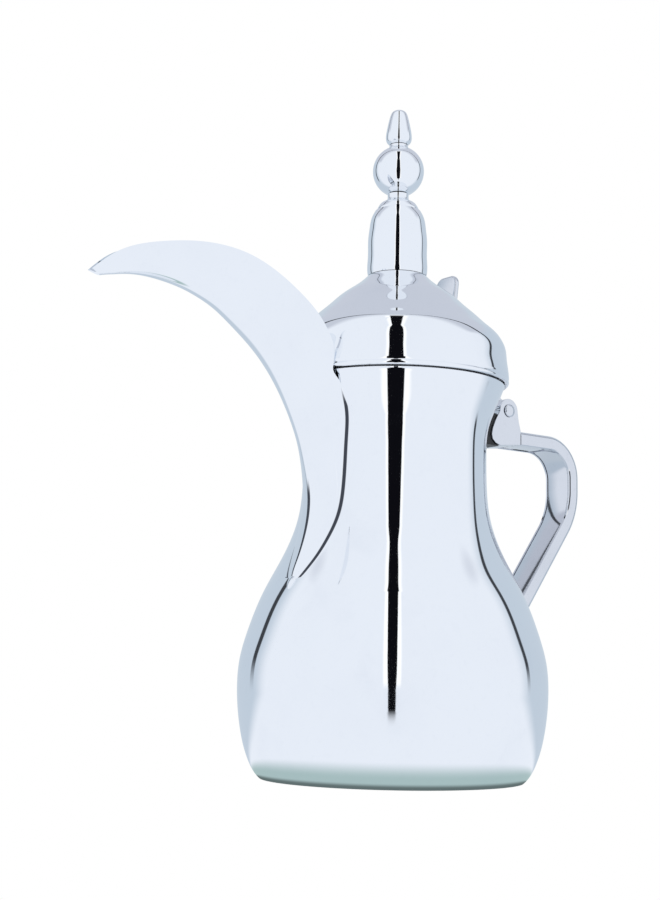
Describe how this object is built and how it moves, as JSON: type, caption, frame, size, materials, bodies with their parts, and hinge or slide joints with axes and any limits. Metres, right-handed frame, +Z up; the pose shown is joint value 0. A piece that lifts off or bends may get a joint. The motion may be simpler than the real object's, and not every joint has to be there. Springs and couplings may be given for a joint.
{
  "type": "dallah coffee pot",
  "caption": "Polished stainless steel dallah: bulbous body, long crescent beak spout, hinged domed lid with a beaded finial, strap handle.",
  "frame": {"origin": "centre of the base underside, on the pot's axis", "axes": "+Z up along the pot's axis, +X towards the handle, -X towards the spout, Y across the pot"},
  "size_m": [0.2643, 0.1342, 0.3],
  "materials": {
    "polished_steel": "mirror polished",
    "satin_steel": "satin",
    "black_spacer": "moulded heat-resistant plastic"
  },
  "bodies": {
    "pot": {"body_shell": "polished_steel", "base_disc": "polished_steel", "spout_left_half": "polished_steel", "spout_right_half": "polished_steel", "handle_outer_shell": "polished_steel", "handle_inner_strip": "polished_steel", "handle_spacer": "black_spacer", "hinge_bracket": "polished_steel", "bracket_screw": "satin_steel", "hinge_pin": "polished_steel"},
    "lid": {"lid_shell": "polished_steel", "lid_locating_ring": "satin_steel", "lid_hinge_leaf": "polished_steel", "thumb_tab": "polished_steel", "finial_barrel": "polished_steel", "finial_collar": "polished_steel", "finial_ball": "polished_steel", "finial_tip": "polished_steel", "finial_stud": "satin_steel", "finial_washer": "satin_steel", "finial_nut": "satin_steel"}
  },
  "joints": [
    {"name": "lid_hinge", "type": "hinge", "parent": "pot", "child": "lid", "pos_m": [0.0622, 0, 0.167], "axis": [0, 1, 0], "range_deg": [0, 100]}
  ]
}
